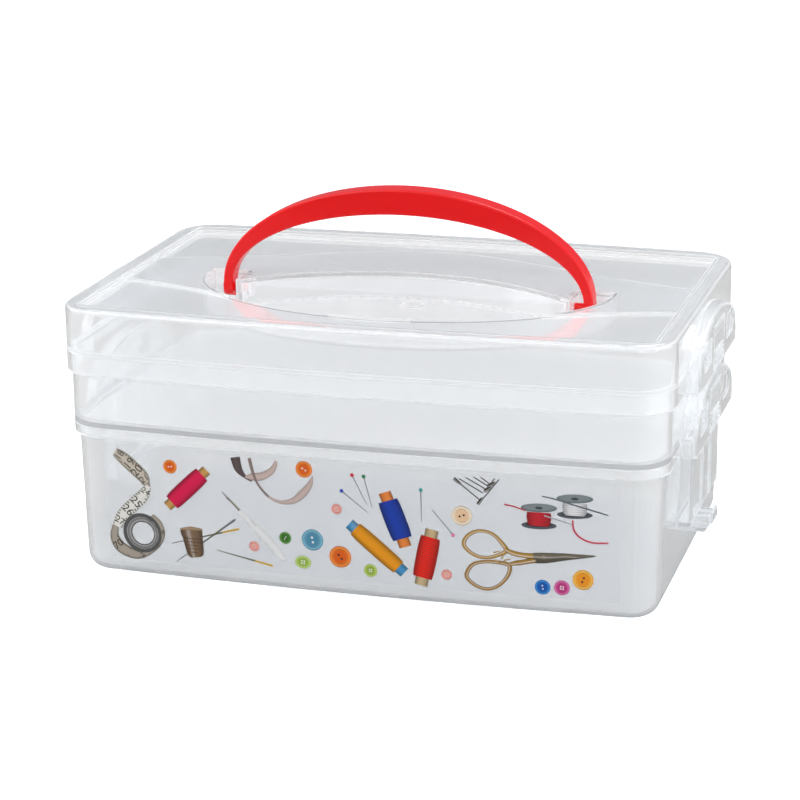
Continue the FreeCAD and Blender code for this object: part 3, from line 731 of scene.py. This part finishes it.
scissors.band(curve_through([(70.4, 31.4, 0.7), (74.0, 29.8, 1.2), (79.0, 29.0, 1.2), (84.5, 28.9, 1.5)], 5),
              GOLD_ROD, layer=3, shade=0.9, gleam=0.8)
scissors.band(curve_through([(72.4, 24.2, 0.7), (76.0, 25.0, 1.2), (80.0, 26.0, 1.2), (85.0, 27.4, 1.5)], 5),
              tone(178, 134, 62), layer=3, shade=0.9, gleam=0.8)
for x, z, turn in ((66.6, 29.6, 20), (69.6, 27.8, 70), (67.4, 24.9, -30), (71.6, 26.2, 15)):
    scissors.band([(x - 1.6 * math.cos(math.radians(turn)), z - 1.6 * math.sin(math.radians(turn)), 0.35),
                   (x + 1.6 * math.cos(math.radians(turn)), z + 1.6 * math.sin(math.radians(turn)), 0.2)],
                  GOLD_ROD, layer=4, shade=0.7, gleam=0.6)
scissors.band([(83.6, 29.0, 1.6), (87.5, 29.2, 1.8), (98.0, 30.2, 1.25), (112.5, 31.3, 0.15)],
              tone(122, 114, 98), layer=4, shade=0.7, gleam=0.4)
scissors.band([(84.6, 26.9, 1.3), (89.0, 27.6, 1.7), (99.0, 29.3, 1.1), (111.5, 30.9, 0.15)],
              tone(92, 86, 74), layer=3, shade=0.7)
scissors.disc((88.4, 28.9), 0.9, tone(168, 160, 140), layer=6, shade=0.5, segments=16)
scissors.finish(INK)

# %% [markdown]
# Bobbins and safety pins. A bobbin lies on its side to the viewer: two flat grey flanges seen
# at a slant are discs squashed to ovals, and the wound thread is a band between them. The
# loose thread tail and the needle stuck through are thin curves. The safety pins are a
# fan of wires that share one dark clasp.

# %% Bobbins and safety pins
bobbins = Drawing("print_bobbins")
FLANGE = tone(112, 122, 126)
for x, top, low, thread in ((102.5, 57.9, 50.2, tone(240, 240, 244)), (86.2, 52.4, 44.0, tone(205, 38, 52))):
    bobbins.disc((x, low), 8.1, tone(84, 92, 98), layer=0, squash=0.23, turn=-2)
    bobbins.disc((x, low + 0.4), 6.0, tone(52, 58, 64), layer=1, squash=0.20, turn=-2)
    bobbins.band([(x, top - 2.2, 5.4), (x, top - 4.4, 5.7), (x, low + 0.6, 5.2), (x, low - 0.4, 4.2)],
                 thread, layer=2, thread=0.5, shade=0.8)
    bobbins.disc((x, top), 8.3, FLANGE, layer=4, squash=0.25, turn=-2, shade=0.5)
    bobbins.disc((x, top + 0.3), 7.2, tone(134, 144, 148), layer=5, squash=0.22, turn=-2)
    bobbins.disc((x, top), 1.7, tone(70, 76, 80), layer=6, squash=0.4, segments=16)
bobbins.band(curve_through([(87.6, 58.1, 0.25), (94.0, 57.0, 0.3), (102.2, 54.9, 0.35),
                            (117.6, 51.1, 0.3)], 5), tone(96, 106, 118), layer=3)
bobbins.band([(88.6, 48.9, 0.3), (101.7, 45.5, 0.25)], tone(180, 180, 186), layer=5)
bobbins.band([(70.4, 52.9, 0.4), (75.0, 52.2, 0.3), (80.3, 50.6, 0.3)], tone(190, 60, 78), layer=5)
bobbins.band(curve_through([(101.6, 47.6, 0.35), (102.2, 42.8, 0.4), (105.6, 39.2, 0.4), (111.0, 37.5, 0.4),
                            (117.8, 37.9, 0.35)], 6), tone(205, 70, 90), layer=5)
bobbins.finish(INK)

clasps = Drawing("print_safety_pins")
WIRE = tone(96, 94, 92)
for start, end in (((47.8, 63.0), (59.3, 53.9)), ((49.5, 63.6), (60.5, 57.6)), ((52.6, 64.4), (62.0, 59.4)),
                   ((56.2, 64.9), (63.2, 60.9)), ((59.6, 65.0), (64.2, 61.8)), ((68.0, 64.6), (59.1, 52.9)),
                   ((66.0, 64.9), (61.0, 58.3))):
    clasps.band([(*start, 0.26), (*end, 0.26)], WIRE, layer=1, shade=0.5)
for x, z, turn in ((48.6, 62.4, -40), (59.2, 53.6, 55), (62.8, 59.6, 35), (64.6, 62.0, 30)):
    way = Vector((math.cos(math.radians(turn)), math.sin(math.radians(turn)))) * 1.9
    clasps.band([(x - way.x, z - way.y, 0.8), (x + way.x, z + way.y, 0.6)], tone(70, 66, 62), layer=2,
                shade=0.8, gleam=0.7)
clasps.finish(INK)

# %% [markdown]
# The tape measure hangs in an S and ends in a roll. Each visible face is a band with ticks
# along both edges and plain numbers across it. The ticks are tiny bands laid square to the
# tape's run. The numbers are text, turned into a mesh and set at the tape's own slant.

# %% Tape measure
TAPE_INK = tone(18, 16, 15)


def number_on(art, text, x, z, turn, size, layer):
    """A printed number, centred on its place."""
    curve = bpy.data.curves.new("number", "FONT")
    curve.body = text
    curve.size = size * MM
    curve.align_x = curve.align_y = "CENTER"
    holder = bpy.data.objects.new("number", curve)
    flat = bpy.data.meshes.new_from_object(holder)
    place = Matrix.Translation((x * MM, 0, z * MM)) @ Matrix.Rotation(math.radians(-turn), 4, "Y")
    flat.transform(place @ Matrix.Rotation(math.radians(90), 4, "X"))
    before = set(art.bm.faces)
    art.bm.from_mesh(flat)
    faces = [f for f in art.bm.faces if f not in before]
    art.colour(faces, TAPE_INK)
    art.raise_plate(faces, layer)
    bpy.data.objects.remove(holder)
    bpy.data.meshes.remove(flat)
    bpy.data.curves.remove(curve)


def tape_face(art, stations, ink, numbers, layer):
    """One visible stretch of tape, with its ticks and numbers."""
    art.band(stations, ink, layer=layer, shade=0.35)
    for i in range(1, len(stations) - 1):
        here = Vector(stations[i][:2])
        way = (Vector(stations[i + 1][:2]) - Vector(stations[i - 1][:2])).normalized()
        side = Vector((-way.y, way.x))
        half = stations[i][2]
        for edge in (-1, 1):
            outer = here + side * edge * half * 0.96
            inner = here + side * edge * half * (0.55 if i % 5 == 0 else 0.72)
            art.band([(*outer, 0.24), (*inner, 0.24)], TAPE_INK, layer=layer + 1)
    count = len(numbers)
    for k, text in enumerate(numbers):
        i = round((k + 0.7) / (count + 0.4) * (len(stations) - 1))
        way = Vector(stations[min(i + 1, len(stations) - 1)][:2]) - Vector(stations[i - 1][:2])
        turn = math.degrees(math.atan2(way.y, way.x))
        upright = turn % 180 - 90
        number_on(art, text, *stations[i][:2], upright, 1.7 * stations[i][2], layer + 1)


tape = Drawing("print_tape_measure")
TAPE_DIM = tone(216, 206, 190)
TAPE_BRIGHT = tone(246, 243, 236)
TAPE_SHADE = tone(178, 168, 154)
tape.band([(-103.6, 48.9, 2.6), (-102.3, 47.4, 1.6), (-102.0, 45.6, 1.2), (-102.6, 43.4, 1.8)],
          TAPE_SHADE, shade=0.8)
FIRST_RUN = [(-118.0, 62.2, 2.2), (-113.6, 59.1, 3.3), (-108.9, 55.2, 3.4), (-104.6, 51.4, 3.2),
             (-102.4, 48.2, 2.0)]
SECOND_RUN = [(-101.6, 46.6, 1.6), (-105.0, 41.2, 3.1), (-110.7, 35.6, 3.3), (-115.7, 30.2, 3.2),
              (-118.9, 24.6, 2.4)]
LAST_RUN = [(-119.6, 25.0, 1.6), (-120.4, 19.4, 2.3), (-118.0, 14.8, 3.0), (-113.2, 12.2, 2.8),
            (-108.4, 11.4, 2.2), (-103.4, 13.4, 1.8), (-98.6, 17.6, 1.8), (-96.0, 23.0, 1.7),
            (-97.0, 28.4, 1.4), (-100.6, 32.0, 0.9)]
tape_face(tape, curve_through(FIRST_RUN, 5), TAPE_DIM, ("18", "19", "20", "21"), 1)
tape_face(tape, curve_through(SECOND_RUN, 5), TAPE_BRIGHT, ("24", "25", "26", "27"), 2)
tape_face(tape, curve_through(LAST_RUN, 5), TAPE_SHADE, ("70", "69", "68"), 0)


def ring(art, x, z, radius, half, ink, layer, **look):
    stations = [(x + radius * math.cos(a), z + radius * math.sin(a), half)
                for a in (math.tau * i / 40 for i in range(40))]
    art.band(stations, ink, layer=layer, closed=True, **look)


ROLL_OUTER = 8.9
ROLL_RINGS = ((ROLL_OUTER, 0.95, 92), (7.9, 0.35, 168), (7.3, 0.45, 128), (6.5, 0.5, 176), (5.9, 0.3, 84))
for radius, half, grey in ROLL_RINGS:
    x = -105.9 + 0.12 * (ROLL_OUTER - radius)
    ring(tape, x, 22.6, radius, half, tone(grey, grey, grey), 4, shade=0.4)
tape.finish(INK)

# %% [markdown]
# The film that carries the picture is a clear sheet held against the wall. It would look like
# nothing at all but for its gloss and a faint haze, so it passes nearly all light. It is one
# wide band, thinner than the first ink, and it stands for the film of the engineering model,
# which the prints lie on.

# %% Clear film
def film_plastic():
    made, tree, shader = new_material("clear_film")
    where = add_node(tree, "ShaderNodeTexCoord")
    haze = add_node(tree, "ShaderNodeTexNoise", Scale=25.0, Detail=3.0)
    tree.links.new(where.outputs["Object"], haze.inputs["Vector"])
    tree.links.new(colour_mix(tree, haze.outputs["Fac"], (0.74, 0.76, 0.80, 1), (0.84, 0.86, 0.90, 1)),
                   shader.inputs["Base Color"])
    spread = add_node(tree, "ShaderNodeMapRange")
    spread.inputs["To Min"].default_value = 0.08
    spread.inputs["To Max"].default_value = 0.14
    tree.links.new(haze.outputs["Fac"], spread.inputs["Value"])
    tree.links.new(spread.outputs["Result"], shader.inputs["Alpha"])
    shader.inputs["Roughness"].default_value = 0.25
    return made


film = Drawing("clear_film_sheet")
film.band([(x, 38, 28.8) for x in range(-123, 124, 3)], WHITE, layer=-1)
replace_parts(film.finish(film_plastic()), "front_print_film")
